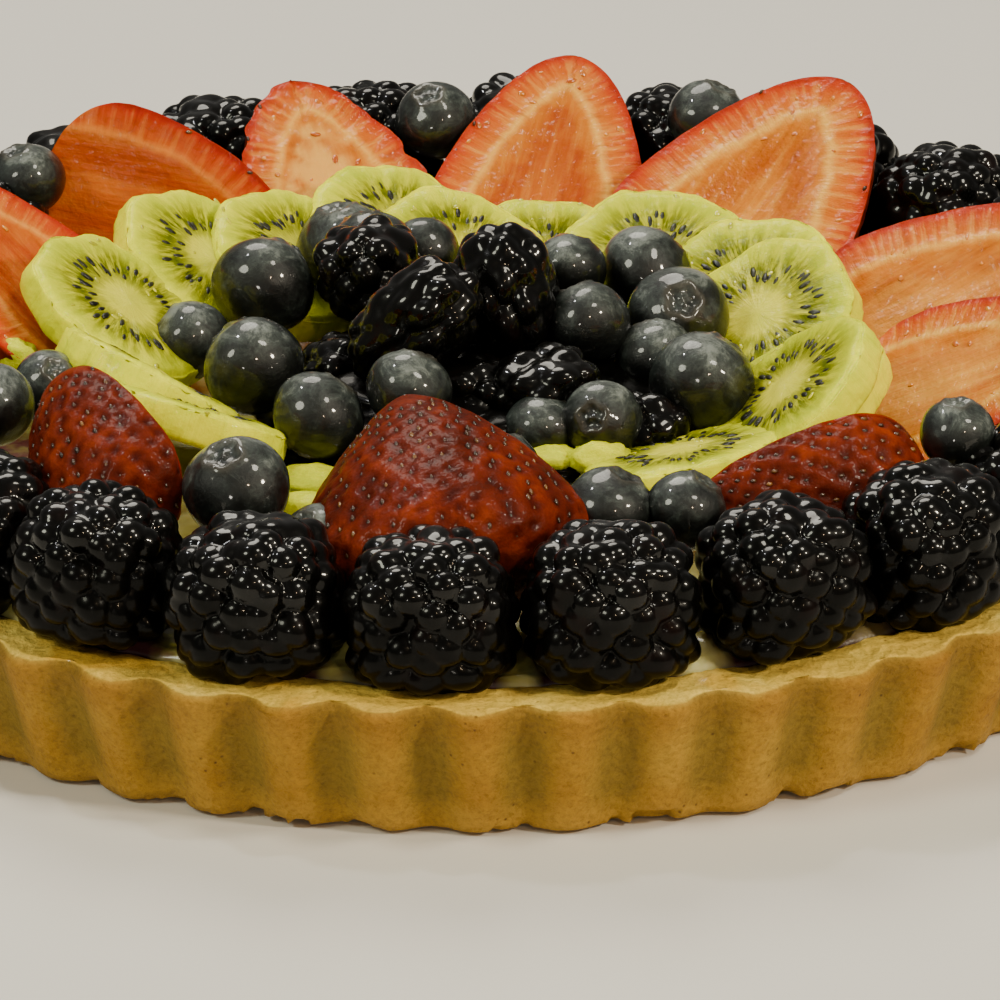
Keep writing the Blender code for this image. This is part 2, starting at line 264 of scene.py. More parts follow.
def build_crust():
    inner = RIM_RADIUS - RIM_WIDTH
    base = [(0, 0), (BASE_RADIUS - 6, 0), (BASE_RADIUS, 0.4)]
    edge = [(RIM_RADIUS - 0.3, SHELL_HEIGHT - 1.5), (RIM_RADIUS - 1.3, SHELL_HEIGHT - 0.3)]
    rim = [(RIM_RADIUS - 2.6, SHELL_HEIGHT), (inner + 1.2, SHELL_HEIGHT), (inner, SHELL_HEIGHT - 0.8)]
    profile = base + edge + rim + [(inner - 5.5, BASE_THICKNESS), (0, BASE_THICKNESS)]
    mesh = turned(profile, (2, 2, 17, 1, 1, 6, 1, 3, 0), FLUTES * STEPS_PER_FLUTE, "crust_shell")
    points = points_of(mesh)
    radius = np.hypot(points[:, 0], points[:, 1])
    angle = np.arctan2(points[:, 0], -points[:, 1])
    height = points[:, 2] / SHELL_HEIGHT
    outer = BASE_RADIUS + (RIM_RADIUS - BASE_RADIUS) * height
    skin = smooth_step(radius, outer - 6, outer - 0.5)
    # 0 in a valley of the fluted wall and 1 on the ridge between two valleys
    ridge = np.abs(np.sin(angle * FLUTES / 2 - math.pi * FLUTE_TURN)) ** FLUTE_FULLNESS
    depth = FLUTE_DEPTHS[0] + (FLUTE_DEPTHS[1] - FLUTE_DEPTHS[0]) * height
    # uneven pressing and small bubbles
    pressed = 0.4 * noise_at(points, 16, 1) + 0.14 * noise_at(points, 3.2, 2)
    taken = depth * (1 - ridge) * (1 + 0.2 * noise_at(points, 40, 8)) + pressed
    # chips out of the foot, small ones anywhere and a few large ones
    foot = np.column_stack([points[:, :2], np.zeros(len(points))])
    chips = 0.8 * smooth_step(noise_at(foot, 4.5, 3), 0.15, 0.5)
    reach = 0.5 + 1.3 * np.clip(noise_at(foot, 9, 4, 1) + 0.5, 0, 1)
    for azimuth, half_width, tall in CHIPS:
        off = np.abs((np.degrees(angle) - azimuth + 180) % 360 - 180) / half_width
        ragged = 0.25 * noise_at(foot, 1.6, 9, 2)
        chips = np.maximum(chips, 1.4 * (1 - smooth_step(off + ragged, 0.7, 1)))
        reach = np.maximum(reach, tall * np.sqrt(np.clip(1.1 - off**2, 0, 1)))
    chips *= 1 - smooth_step(points[:, 2], reach * 0.75, reach)
    taken += 2.0 * chips
    moved = radius - skin * (taken + 0.35)
    # the wall isn't quite even on the inside either
    wavy = 0.7 * noise_at(points, 5, 5) + 1.5 * noise_at(points, 17, 12, 1)
    moved -= (1 - skin) * (radius > WALL_FROM) * wavy * smooth_step(points[:, 2], 6, 14)
    points[:, :2] *= np.where(radius > 1, moved / np.maximum(radius, 1), 1)[:, None]
    # the cut rim is sandy and a little uneven
    top = smooth_step(points[:, 2], SHELL_HEIGHT - 3, SHELL_HEIGHT)
    rough = 0.45 * noise_at(points, 7, 6) + 0.2 * noise_at(points, 2.2, 7)
    rough += 0.14 * noise_at(points, 0.9, 10, 1)
    points[:, 2] += top * (rough - 0.45)
    points[:, 2] = np.maximum(points[:, 2], 0)
    on_top = smooth_step(radius, WALL_FROM, WALL_FROM + 8)
    on_top *= 1 - smooth_step(radius, outer - 1.9, outer - 0.9)
    on_top = np.maximum(on_top, 1 - smooth_step(radius, WALL_FROM, WALL_FROM + 4))
    # the material paints shade into the valleys from this
    give_attribute(mesh, "ridge", ridge)
    give_attribute(mesh, "cut_top", on_top * smooth_step(height, 0.6, 0.95))
    add_piece("crust_shell", mesh, points, shortcrust(), ["crust"])


build_crust()

# --- The pastry cream ---
# Set vanilla pastry cream, piped in and spread level. It shows as a pale, slightly green-grey edge
# pushed up between the berries, stained by their juice and by the glaze, and darkened by painted shade under
# them.

CREAM_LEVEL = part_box("pastry_cream")[1][2] / MM
CREAM_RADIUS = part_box("pastry_cream")[1][0] / MM
CREAM_FOOT = BASE_THICKNESS + 0.3
# the fruit ends in a flat cut at this height, just under the cream
CUT_LEVEL = CREAM_LEVEL - 1.5
# the azimuth of one berry of the ring and the step to the next, in degrees
BRAMBLE_TURN = -4.5
BRAMBLE_PITCH = 15
# the azimuth and the width of the gap that is soaked with juice
SOAKED_GAP = (33, 5)


def pastry_cream():
    """Egg-yellow set custard: soft, satin, darkened purple near the berries by juice stain and painted shade.
    """
    material, tree, place = new_material(
        "set_custard", Roughness=0.38, IOR=1.4, Coat_Weight=0.5, Coat_Roughness=0.12,
        Subsurface_Weight=0.35, Subsurface_Scale=0.004, Subsurface_Radius=(1.0, 0.7, 0.35),
    )
    soaked = clouds(place, 0.019, 4, 0.65)
    tones = ((0.34, "#6A3630"), (0.42, "#988F44"), (0.54, "#BAB468"), (0.66, "#CCC888"))
    # the stain is partly painted shade: the cream is darkened where the berries stand on it
    colour = blend(stored(tree, "juice_stain_and_shade"), ramp(soaked, *tones), "#3A1A20")
    plug(tree, Base_Color=colour, Normal=relief(clouds(place, 0.0024, 3), 0.5, 0.0006))
    return material


def build_cream():
    profile = [
        (0, CREAM_FOOT),
        (CREAM_RADIUS - 7.5, CREAM_FOOT),
        (CREAM_RADIUS - 0.4, CREAM_LEVEL - 1.6),
        (CREAM_RADIUS - 1.6, CREAM_LEVEL - 0.2),
        (CREAM_RADIUS - 22, CREAM_LEVEL),
        (0, CREAM_LEVEL),
    ]
    mesh = turned(profile, (0, 1, 1, 13, 14), 270, "pastry_cream_bed")
    points = points_of(mesh)
    radius = np.hypot(points[:, 0], points[:, 1])
    upper = smooth_step(points[:, 2], CREAM_LEVEL - 4, CREAM_LEVEL - 0.5)
    pushed = np.clip(noise_at(points, 8, 11) + 0.25, 0, 1.2)
    near_rim = 1 - smooth_step(radius, CREAM_RADIUS - 2.5, CREAM_RADIUS)
    near_rim *= smooth_step(radius, 86, 100)
    points[:, 2] += upper * (0.35 * noise_at(points, 4, 12) + 3.4 * near_rim * pushed)
    # darker purple under the berries of the ring, partly juice stain and partly painted shade; and a juice
    # stain all through one gap
    azimuth = np.degrees(np.arctan2(points[:, 0], -points[:, 1]))
    off_gap = np.abs((azimuth - BRAMBLE_TURN) % BRAMBLE_PITCH - BRAMBLE_PITCH / 2)
    soaked = smooth_step(off_gap + 1.2 * noise_at(points, 5, 13, 2), 0.6, 1.7)
    soaked *= smooth_step(radius, 82, 90)
    in_gap = (azimuth - SOAKED_GAP[0]) / SOAKED_GAP[1]
    give_attribute(mesh, "juice_stain_and_shade", np.maximum(soaked, 0.75 * np.exp(-(in_gap**2))))
    add_piece("cream_bed", mesh, points, pastry_cream(), ["pastry_cream"])


build_cream()

# --- The brambles ---
# Ripe black bramble berries stood on the cream in one ring. Each is a ball of juicy drupelets. Warm
# glaze was brushed over them, so the drupelets melt into each other on top and shine all over.

DRUPELET = 4.9
BOXINESS = 2.45
# half sizes of a berry outwards, around and upwards, and how far from the axis it stands
BRAMBLE_SIZE = (13.7, 14.3, 13.4)
BRAMBLE_RING = 108.2
# how much wider than a ball it is near its foot
BRAMBLE_SQUAT = 0.22


def glazed_bramble_skin():
    """Blue-black drupelet skin, nearly black, under a clear glaze that is thickest on top."""
    material, tree, place = new_material(
        "glazed_bramble", Roughness=0.3, IOR=1.3, Specular_IOR_Level=0.16,
        Coat_Roughness=0.05, Coat_IOR=1.34,
    )
    glaze = stored(tree, "glaze")
    patches = clouds(place, 0.006, 2)
    colour = ramp(patches, (0.35, "#030302"), (0.6, "#060504"), (0.78, "#120806"))
    coat = stretched(glaze, 0, 1, 0.15, 1)
    flow = clouds(place, 0.006, 1, Distortion=0.8)
    waves = relief(reckoned("MULTIPLY", flow, glaze), 0.3, 0.001)
    plug(tree, Base_Color=colour, Coat_Weight=coat, Normal=waves, Coat_Normal=waves)
    return material


def fine_ball(name):
    """A unit ball of even triangles, finer on top and on its outer side, where x is largest."""
    bm = bmesh.new()
    bmesh.ops.create_icosphere(bm, subdivisions=5, radius=1)
    shows = {v for v in bm.verts if v.co.z > 0.5 or (v.co.x > 0.05 and v.co.z > -0.7)}
    fine = [e for e in bm.edges if shows.issuperset(e.verts)]
    bmesh.ops.subdivide_edges(bm, edges=fine, cuts=1, use_grid_fill=True)
    for vert in bm.verts:
        vert.co.normalize()
    return mesh_from(bm, name)


def spread_on_ball(count, rng, jitter):
    """Directions spread evenly over a ball in a spiral, each moved a little."""
    steps = np.arange(count) + 0.5
    heights = 1 - 2 * steps / count
    turns = steps * math.pi * (3 - math.sqrt(5)) + rng.uniform(0, 6)
    around = np.sqrt(1 - heights**2)
    spread = np.column_stack([around * np.cos(turns), around * np.sin(turns), heights])
    spread += np.array([[rng.uniform(-jitter, jitter) for _ in range(3)] for _ in range(count)])
    return spread / np.linalg.norm(spread, axis=1)[:, None]


def drupelet_radii(directions, mean, rng, melt):
    """How far a ball of drupelets reaches along each direction, in mm."""
    count = int(4 * math.pi * (mean - 1.6) ** 2 / (0.82 * DRUPELET**2))
    centres = spread_on_ball(count, rng, 0.09)
    radii = DRUPELET * np.array([rng.uniform(0.53, 0.66) for _ in range(count)])
    away = mean - radii + np.array([rng.uniform(-0.7, 0.3) for _ in range(count)])
    cosines = directions @ centres.T
    inside = radii**2 - away**2 * (1 - cosines**2)
    reach = np.where(inside > 0, away * cosines + np.sqrt(np.maximum(inside, 0)), 0)
    reach = np.maximum(reach, mean - DRUPELET * 0.66)
    sharpness = 9 - 7.0 * melt
    highest = reach.max(axis=1)
    beyond = np.exp((reach - highest[:, None]) * sharpness[:, None]).sum(axis=1)
    blended = highest + np.log(beyond) / sharpness
    spare = math.log(2.4) / sharpness
    return np.minimum(blended - spare * melt, mean + 0.3)


def bramble_points(directions, size, rng, glaze_axis, glaze_from, squat):
    """The points of one glazed berry about its middle, in mm, and how thick its glaze is."""
    facing = directions @ np.array(glaze_axis)
    turn = rng.uniform(0, 6)
    wavy = facing + 0.2 * np.sin(directions[:, 0] * 5 + directions[:, 1] * 4 + turn)
    wavy += 0.1 * np.sin(directions[:, 0] * 11 - directions[:, 2] * 9 + turn * 2)
    melt = smooth_step(wavy, glaze_from, glaze_from + 0.55)
    mean = sum(size) / 3
    radii = drupelet_radii(directions, mean, rng, melt)
    # a rounded box rather than a ball
    boxy = (np.abs(directions) ** BOXINESS).sum(axis=1) ** (-1 / BOXINESS)
    shape = np.array(size) / mean * boxy[:, None]
    # settled: its sides stay nearly upright down to the foot, against its neighbours
    shape[:, 1] *= 1 + squat * smooth_step(-directions[:, 2], 0.15, 0.8)
    glaze = smooth_step(wavy, glaze_from - 0.6, glaze_from + 0.3)
    return directions * radii[:, None] * shape, glaze


bramble_finish = glazed_bramble_skin()
ball = fine_ball("fine_ball")
ball_directions = points_of(ball) * MM
berry_rng = random.Random(21)


def build_bramble(name, middle, size, turn, glaze_from, nodes=(), squat=0):
    """One berry; turn is the 3 by 3 matrix that lays it."""
    glaze_axis = turn.transposed() @ Vector((0, 0, 1))
    local, glaze = bramble_points(ball_directions, size, berry_rng, glaze_axis, glaze_from, squat)
    points = local @ np.array(turn).T + np.array(middle)
    points[:, 2] = np.maximum(points[:, 2], CUT_LEVEL)
    mesh = ball.copy()
    give_attribute(mesh, "glaze", glaze)
    add_piece(name, mesh, points, bramble_finish, nodes)


def nodes_named(start):
    """The CAD's nodes of one kind, in order."""
    return sorted(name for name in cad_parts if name.startswith(start))


for node_name in nodes_named("bramble_"):
    node_low, node_high = np.array(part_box(node_name)) / MM
    berry_middle = (node_low + node_high) / 2
    outward = Vector((berry_middle[0], berry_middle[1], 0)).normalized()
    around = Vector((0, 0, 1)).cross(outward)
    berry_size = np.array(BRAMBLE_SIZE) * berry_rng.uniform(0.96, 1.02)
    berry_middle = np.array(outward) * BRAMBLE_RING
    berry_middle[2] = node_high[2] - berry_size[2] - berry_rng.uniform(-0.4, 0.8)
    lay = Matrix((outward, around, Vector((0, 0, 1)))).transposed()
    lay = Matrix.Rotation(berry_rng.uniform(-0.25, 0.25), 3, outward) @ lay
    glazed_from = berry_rng.uniform(0.4, 0.7)
    fruit_name = node_name + "_fruit"
    build_bramble(fruit_name, berry_middle, berry_size, lay, glazed_from, [node_name], BRAMBLE_SQUAT)

# --- The strawberries ---
# Ripe strawberries cut in half lengthwise and stood on the cream, most with the cut side inwards.
# The skin is deep red with pitted seeds; the cut flesh is orange-red with a pale band of fibres.

# Each half lies as the cut solid does: its shoulder end and its tip end as (azimuth from the front,
# radius, height), the roll of the cut face and the width. Then how red the cut flesh is, from orange
# (0) to red all through (1), and how dark with juice (up to 1) or pale (down to -1) its middle is.
STRAWBERRIES = {
    "front": ((-3, 88, 23), (-11, 65, 54), 0, 51, 0.5, 0.2),
    "front_right": ((50, 92, 36.5), (23, 83, 38.5), 0, 26, 0.5, 0.2),
    "right": ((79, 60, 29), (76, 106, 51), 12, 40, 0, -0.3),
    "right_back": ((108, 60, 28), (104, 106, 50), 14, 39, 0.1, -0.2),
    "back_right": ((146, 58, 27), (142, 105, 56), 4, 45, 0, 0.1),
    "back": ((174, 58, 27), (170, 101, 55.5), 0, 39, 0.05, 0.8),
    "back_left": ((-161, 60, 28), (-160, 98, 54), 0, 38, 0.15, -0.85),
    "left_back": ((-131, 102, 44), (-151, 72, 37), -10, 33, 0.9, 0.3),
    "left": ((-100, 60, 30), (-112, 104, 58), -30, 42, 0.6, 0.5),
    "front_left": ((-37, 88, 28), (-55, 82, 52), 0, 35, 0.5, 0.2),
}
# these lie with the skin out, towards the rim, so their seeds and pits show
SKIN_OUT = ("front", "front_right", "left_back", "front_left")
# how far the middle of the cut face has sunk, and how ruffled the cut edge is, in mm
HOLLOW = {"back_right": 2.4, "right_back": 1.2, "left": 1.3}
RUFFLE = {"back_left": 1.2}
# a higher number makes the tip more pointed
POINTED = {"front": 0.7}
# the widest place, as a share of the length from the shoulder
WIDEST = 0.32
# a half is this deep for a half width of 1
HALF_DEPTH = 0.92
PIT_DEPTH = 0.62
SEED_SINKS = 0.72
# half sizes of a seed across, along and outwards
BERRY_SEED = (0.4, 0.68, 0.34)
BEADS_PER_HALF = 16
GOLDEN_SHARE = 0.618034


def radial(azimuth):
    """Unit vector away from the tart's axis; azimuth is in degrees from the front."""
    angle = math.radians(azimuth)
    return Vector((math.sin(angle), -math.cos(angle), 0))


def spot(azimuth, radius, height):
    """The point of a place on the tart, in mm."""
    return radial(azimuth) * radius + Vector((0, 0, height))


def strawberry_outline(along, pointed):
    """Radius as a share of the largest, from the shoulder (0) to the tip (1)."""
    low = np.clip(along / WIDEST, 0, 1)
    shoulder = np.sqrt(np.clip(1 - (1 - low) ** 2.4, 0, 1))
    beyond = np.clip((along - WIDEST) / (1 - WIDEST), 0, 1)
    tip = np.clip(1 - beyond**1.25, 0, 1) ** pointed
    return np.where(along < WIDEST, shoulder, tip)


def strawberry_flesh():
    """Wet strawberry: red skin; on the cut side red rim, orange flesh, a pale band and fibres."""
    material, tree, place = new_material(
        "glazed_strawberry", Roughness=0.5, IOR=1.36, Specular_IOR_Level=0.15, Coat_Roughness=0.05,
        Subsurface_Weight=0.15, Subsurface_Scale=0.004, Subsurface_Radius=(1.0, 0.25, 0.1),
    )
    flesh = add_node(tree, "ShaderNodeSeparateXYZ", {0: stored(tree, "flesh", "Vector")})
    ripeness, cut, tone = flesh.outputs
    depth = stored(tree, "depth")
    cloud = clouds(place, 0.008, 5, 0.62)
    # fibres run in from the skin, and strands run up the core
    fibres = clouds(stored(tree, "ray", "Vector"), 1, 3, 0.6)
    strands = clouds(stored(tree, "core", "Vector"), 1, 3, 0.6)
    lines = blend(stretched(depth, 0.34, 0.46), fibres, strands)
    level = reckoned("ADD", depth, stretched(cloud, 0, 1, -0.09, 0.09))
    tones = ("#9E2200", "#BC3600", "#C85404", "#D07010", "#EAAC48", "#CC7408", "#BE5E00", "#D88820")
    inside = ramp(level, *zip((0, 0.05, 0.13, 0.28, 0.35, 0.42, 0.6, 0.9), tones))
    threads = ramp(lines, (0.48, 0), (0.64, 1))
    share = ramp(depth, (0.03, 0), (0.1, 0.36), (0.32, 0.42), (0.42, 0.2), (0.9, 0.45))
    inside = blend(blend(1, threads, share, "MULTIPLY"), inside, "#EEB450")
    dips = ramp(lines, (0.3, (0.72, 0.6, 0.45)), (0.45, 1))
    inside = blend(0.8, inside, dips, "MULTIPLY")
    inside = blend(ripeness, inside, "#F0B490", "MULTIPLY")
    # juice and glaze lie in the sunk middle, or else it is pale
    inside = blend(tone, inside, "#E0AC74", "MULTIPLY")
    inside = blend(stretched(tone, 0, -1), inside, "#ECAE50")
    skin = ramp(cloud, (0.3, "#461100"), (0.5, "#661B00"), (0.72, "#923200"))
    # painted shade: the skin is darker in the pits
    skin = blend(tone, skin, "#94706A", "MULTIPLY")
    fine = clouds(place, 0.0014, 2)
    furrows = relief(reckoned("MULTIPLY_ADD", lines, cut, fine), 0.5, 0.0006)
    colour = blend(cut, skin, inside)
    coat = stretched(cut, 0, 1, 0.1, 0.3)
    plug(tree, Base_Color=colour, Coat_Weight=coat, Normal=furrows, Coat_Normal=furrows)
    return material


def drifting(name, size, detail, *stops, **uniform):
    """A material whose colour drifts over the piece in clouds of this size, in metres."""
    material, tree, place = new_material(name, **uniform)
    plug(tree, Base_Color=ramp(clouds(place, size, detail), *stops))
    return material


def achene_husk():
    """The dry seeds on the skin: small hard husks, straw to brown, glazed over."""
    tones = ((0.35, "#241206"), (0.52, "#40230C"), (0.72, "#8A5C22"))
    gloss = {"Roughness": 0.35, "IOR": 1.5, "Coat_Weight": 0.6, "Coat_Roughness": 0.1}
    return drifting("strawberry_seed", 0.006, 1, *tones, **gloss)


def round_ball(name, segments, rings):
    """A unit ball with so many segments around and rings from pole to pole."""
    bm = bmesh.new()
    bmesh.ops.create_uvsphere(bm, u_segments=segments, v_segments=rings, radius=1)
    return mesh_from(bm, name)


def half_ball(name, segments, rings, skin_share):
    """A ball whose upper side is to be laid flat; this share of its steps is on the round side."""
    mesh = round_ball(name, segments, rings)
    points = points_of(mesh) * MM
    turns = np.arctan2(points[:, 1], points[:, 0]) / math.pi
    steps = np.where(turns < 0, turns + 2, turns)
    span = 2 * (1 - skin_share)
    angle = np.where(steps < span, steps / span, 1 + (steps - span) / (2 - span)) * math.pi
    return mesh, (1 + points[:, 2]) / 2, angle


def distance_from_skin(local, length, half, pointed):
    """How far points of the cut face are from the skin, and where along it the nearest skin is."""
    along = np.linspace(0, 1, 260)
    reach = np.where(along < WIDEST, 1, strawberry_outline(along, pointed)) * half
    gaps = np.hypot(np.abs(local[:, :1]) - reach, local[:, 1:2] - (along - 0.5) * length)
    nearest = gaps.argmin(axis=1)
    return gaps.min(axis=1), along[nearest] * length


strawberry_finish = strawberry_flesh()
strawberry_halves = {
    True: half_ball("strawberry_skin_out", 118, 92, 0.74),
    False: half_ball("strawberry_cut_out", 108, 84, 0.5),
}
seed_rng = random.Random(8)
seed_places = []
bead_places = []


def strawberry_frame(shoulder, tip, roll):
    """(middle, x, y, z axes, length): y runs to the tip and z out of the cut face."""
    low, high = spot(*shoulder), spot(*tip)
    y_axis = (high - low).normalized()
    middle = (low + high) / 2
    inward = -Vector((middle.x, middle.y, 0)).normalized()
    z_axis = (inward - y_axis * inward.dot(y_axis)).normalized()
    z_axis = Matrix.Rotation(math.radians(roll), 3, y_axis) @ z_axis
    axes = np.array([y_axis.cross(z_axis), y_axis, z_axis])
    return np.array(middle), axes, (high - low).length


def build_strawberry(name, shoulder, tip, roll, width, redness, juice):
    middle, axes, length = strawberry_frame(shoulder, tip, roll)
    skin_out = name in SKIN_OUT
    half_mesh, along, angle = strawberry_halves[skin_out]
    mesh = half_mesh.copy()
    pointed = POINTED.get(name, 0.5)
    radius = strawberry_outline(along, pointed)
    across = np.cos(angle) * radius
    on_skin = np.sin(angle) < -1e-6
    height = on_skin * np.sin(angle) * radius * HALF_DEPTH
    half = width / 2
    local = np.column_stack([across * half, (along - 0.5) * length, height * half])
    seed = len(seed_places) + width
    # pits with a seed in each, in staggered rows round the skin
    spacing = 3.8 if skin_out else 4.8
    count = int(math.pi * half * length * 1.15 / spacing**2)
    steps = (np.arange(count) + 0.5) / count
    pit_along = 0.04 + 0.88 * steps
    pit_angle = math.pi * (1 + (np.arange(count) * GOLDEN_SHARE + seed_rng.random()) % 1)
    pit_angle += np.array([seed_rng.uniform(-0.07, 0.07) for _ in range(count)])
    pit_radius = strawberry_outline(pit_along, pointed)
    pit_across = np.cos(pit_angle) * pit_radius * half
    pit_height = np.sin(pit_angle) * pit_radius * HALF_DEPTH * half
    pits = np.column_stack([pit_across, (pit_along - 0.5) * length, pit_height])
    uneven = 0.45 * noise_at(local, 11, seed) * (1 - smooth_step(along, 0.7, 1))
    gaps = ((local[:, None, :] - pits[None, :, :]) ** 2).sum(axis=2)
    pitted = np.minimum(np.exp(-gaps).sum(axis=1), 1.2)
    outward = np.column_stack([local[:, 0], np.zeros(len(local)), local[:, 2]])
    outward /= np.maximum(np.linalg.norm(outward, axis=1), 0.1)[:, None]
    edge = 1 - smooth_step(radius - np.abs(across), 0, 0.2)
    ruffle = RUFFLE.get(name, 0.18) * (noise_at(local, 4.2, seed + 2, 2) - 0.15)
    ruffle *= (edge + on_skin).clip(0, 1)
    local += outward * (uneven * on_skin + ruffle - PIT_DEPTH * pitted * on_skin)[:, None]
    # the cut side: a little proud along the band, sunk at the core, rough at the edge
    distance, position = distance_from_skin(local, length, half, pointed)
    depth = ~on_skin * distance / half
    ripples = 0.25 * noise_at(local * (1, 0.35, 1), 2.6, seed + 1)
    near_edge = 1 - smooth_step(depth, 0.1, 0.6)
    ripples += RUFFLE.get(name, 0) * 0.8 * noise_at(local, 3.4, seed + 3) * near_edge
    sunk = -HOLLOW.get(name, 0.6) * smooth_step(depth, 0.42, 0.8)
    sunk += 0.3 * np.exp(-(((depth - 0.35) / 0.07) ** 2))
    flat = smooth_step(depth, 0.0, 0.06)
    local[:, 2] += ~on_skin * (flat * (sunk + ripples) - 0.15)
    points = local @ axes + middle
    points[:, 2] = np.maximum(points[:, 2], CUT_LEVEL)
    pooled = juice * smooth_step(depth + 0.2 * noise_at(local, 3.5, seed), 0.4, 0.65)
    # on the skin this is painted shade in the pits; on the cut side it is juice pooled in the middle
    tone = np.where(on_skin, pitted * 0.9, pooled)
    ripeness = depth * 0 + redness
    give_attribute(mesh, "flesh", np.column_stack([ripeness, ~on_skin, tone]))
    give_attribute(mesh, "depth", depth)
    # the fibres' texture is drawn out along the second number of each of these
    kept = depth * 0 + seed
    fibre = position / 1.3 + np.sign(across) * 40
    give_attribute(mesh, "ray", np.column_stack([fibre, depth * 1.2, kept]))
    give_attribute(mesh, "core", np.column_stack([local[:, 0] / 1.7, local[:, 1] / 15, kept]))
    node = "strawberry_" + name
    add_piece(node + "_fruit", mesh, points, strawberry_finish, [node])
    for pit, turn, share in zip(pits, pit_angle, pit_radius):
        normal = np.array([math.cos(turn), 0, math.sin(turn)])
        if share > 0.1:
            base = (pit - normal * SEED_SINKS) @ axes + middle
            if base[2] > CREAM_LEVEL:
                seed_places.append((base, normal @ axes, axes[1]))
    if not skin_out:
        wet = np.where(~on_skin & (depth > 0.08) & (points[:, 2] > 33) & (radius > 0.3))[0]
        for index in seed_rng.sample(list(wet), BEADS_PER_HALF):
            bead_places.append((points[index], axes))


for strawberry_name, laid in STRAWBERRIES.items():
    build_strawberry(strawberry_name, *laid)


def joined_copies(name, base, places, material):
    """Copies of a small mesh, joined into one piece. A place is (3 by 3 axes and sizes, middle)."""
    corners = points_of(base) * MM
    faces = [tuple(polygon.vertices) for polygon in base.polygons]
    every_point = np.concatenate([corners @ axes + middle for axes, middle in places])
    mesh = bpy.data.meshes.new(name)
    starts = range(0, len(every_point), len(corners))
    every_face = [tuple(index + start for index in face) for start in starts for face in faces]
    mesh.from_pydata([(0, 0, 0)] * len(every_point), [], every_face)
    add_piece(name, mesh, every_point, material)


def build_strawberry_seeds():
    places = []
    for middle, normal, tip in seed_places:
        side = np.cross(tip, normal)
        side /= np.linalg.norm(side)
        size = seed_rng.uniform(0.85, 1.15)
        axes = np.array([side, np.cross(normal, side), normal])
        places.append((axes * np.array(BERRY_SEED)[:, None] * size, middle))
    joined_copies("strawberry_seeds", round_ball("seed", 5, 4), places, achene_husk())


build_strawberry_seeds()

# --- The kiwi slices ---
# Peeled kiwi fruit cut across into slices of about 6.5 mm, laid in a ring so that each one leans on
# the next. Wet, translucent yellow-green flesh with a pale core, rays, and a ring of black seeds.

KIWI_THICKNESS = 6.5
KIWI_FLATS = 9
SEEDS_PER_SLICE = 44
BEADS_PER_SLICE = 12
# half sizes of a seed outwards, around and upwards
KIWI_SEED = (1.3, 0.52, 0.26)
# how sharply one flat meets the next
FLAT_SHARPNESS = 26
# how far out the seeds stand, as shares of the radius
SEED_RINGS = (0.4, 0.46, 0.52, 0.58)
# the slices that were peeled with shallower cuts than the others
ROUNDER = (12, 13)
# Each slice lies as the cut solid does: (azimuth, radius, height) of its middle, outward lean, side
# tilt, radius of the slice
KIWIS = [
    ((-102, 63, 39.5), 35, -4, 18.5),
    ((-129, 61, 38), 35, 6, 18),
    ((-145, 56, 36), 31, 9, 17.5),
    ((-166, 59, 36), 27, 11, 18),
    ((-175, 46, 35), 26, 11, 18),
    ((142, 49, 36), 26, 17, 18.5),
    ((119, 52, 36), 25, 19, 18),
    ((103, 49, 37), 29, 16, 18.5),
    ((70, 55, 35), 20, 14, 17.5),
    ((64, 57.5, 38), 34, 22, 17),
    ((41, 50, 31), 15, 1, 17),
    ((-61, 56.5, 36), 26, 8, 18),
    ((-71, 58.5, 38.5), 35, 9, 17),
]


def kiwi_flesh():
    """Fresh cut kiwi: translucent and wet, pale core, dark green seed ring, pale rays, and a bright rim of
    painted light.
    """
    material, tree, place = new_material(
        "cut_kiwi", Roughness=0.45, IOR=1.36, Specular_IOR_Level=0.12, Coat_Weight=0.18,
        Coat_Roughness=0.08, Subsurface_Weight=0.3, Subsurface_Scale=0.005,
        Subsurface_Radius=(0.9, 1.0, 0.15),
    )
    share = stored(tree, "share")
    rays = clouds(stored(tree, "slice", "Vector"), 1 / 9, 3, 0.7)
    level = reckoned("ADD", share, stretched(rays, 0, 1, -0.13, 0.13))
    # painted light: the brightest stops, at the rim and round the side, stand for light shining through the
    # translucent edge
    tones = ("#E0DC44", "#D8D43A", "#9A9C18", "#566004", "#868C08", "#BCC414", "#DEE41A", "#F6F810")
    colour = ramp(level, *zip((0, 0.26, 0.36, 0.5, 0.64, 0.78, 0.94, 1), tones))
    streaks = ramp(rays, (0.47, 0), (0.64, 1))
    where = ramp(share, (0.3, 0), (0.45, 0.8), (0.8, 0.5), (0.97, 0))
    colour = blend(blend(1, streaks, where, "MULTIPLY"), colour, "#DAD830")
    cloud = clouds(place, 0.009, 3)
    tint = ramp(cloud, (0.3, (0.8, 0.85, 0.6)), (0.6, (1.05, 1.03, 1)))
    colour = blend(1, colour, tint, "MULTIPLY")
    grain = reckoned("ADD", clouds(place, 0.0013, 2), rays)
    furrows = relief(grain, 0.4, 0.0006)
    plug(tree, Base_Color=colour, Normal=furrows, Coat_Normal=furrows)
    return material


def kiwi_seed_coat():
    """Small hard black seeds, wet."""
    gloss = {"Roughness": 0.4, "IOR": 1.4, "Coat_Weight": 0.25, "Coat_Roughness": 0.1}
    return drifting("kiwi_seed", 0.004, 1, (0.35, "#0D0D08"), (0.7, "#2A2A14"), **gloss)


kiwi_finish = kiwi_flesh()
kiwi_rng = random.Random(5)
kiwi_seed_places = []
kiwi_bead_places = []
# a slice of radius 1 and thickness 1, with worn edges
side = [(0, 0.5), (0.95, 0.5), (0.99, 0.42), (1, 0.25), (1, -0.25), (0.98, -0.4), (0.93, -0.5), (0, -0.5)]
disc = turned(side, (20, 2, 2, 2, 2, 1, 2), 110, "kiwi_disc")
disc_points = points_of(disc)


